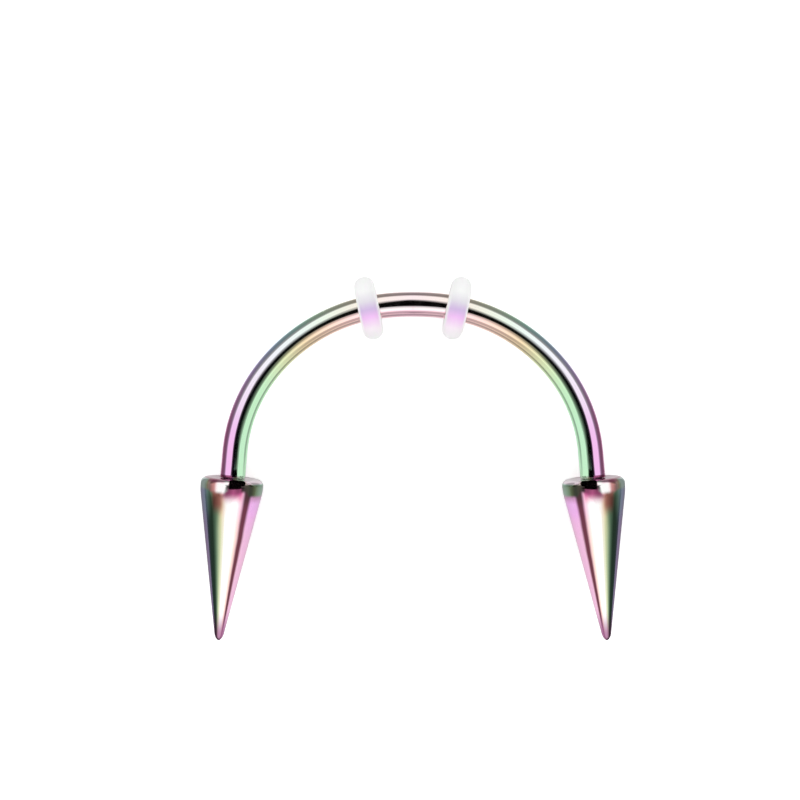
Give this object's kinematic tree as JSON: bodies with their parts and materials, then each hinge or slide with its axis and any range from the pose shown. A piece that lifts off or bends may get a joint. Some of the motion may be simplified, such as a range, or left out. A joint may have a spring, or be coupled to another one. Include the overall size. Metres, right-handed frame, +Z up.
{
  "type": "horseshoe barbell",
  "caption": "Horseshoe barbell in mirror-polished rainbow steel, an open arch with screw-on cone spikes on its ends and clear soft stop rings at its crown.",
  "frame": {"origin": "on the surface that the barbell lies on, under the middle of its box", "axes": "+X across the arch, from the left spike to the right one; +Y towards the crown, with the spikes pointing to -Y; +Z up, square to the plane of the arch"},
  "size_m": [0.0204, 0.0176, 0.0031],
  "materials": {
    "rainbow_steel": "mirror-polished surgical steel with a rainbow coating that runs from green through gold and pink to violet",
    "clear_silicone": "frosted clear silicone, soft and smooth"
  },
  "bodies": {
    "bar": {"bar": "rainbow_steel", "ring_left": "clear_silicone", "ring_right": "clear_silicone"},
    "spike_left": {"spike_left": "rainbow_steel"},
    "spike_right": {"spike_right": "rainbow_steel"}
  },
  "joints": [
    {"name": "spike_left_unscrew", "type": "slide", "parent": "bar", "child": "spike_left", "axis": [-0.0872, -0.9962, 0], "range_m": [0, 0.0035]},
    {"name": "spike_right_unscrew", "type": "slide", "parent": "bar", "child": "spike_right", "axis": [0.0872, -0.9962, 0], "range_m": [0, 0.0035]}
  ]
}
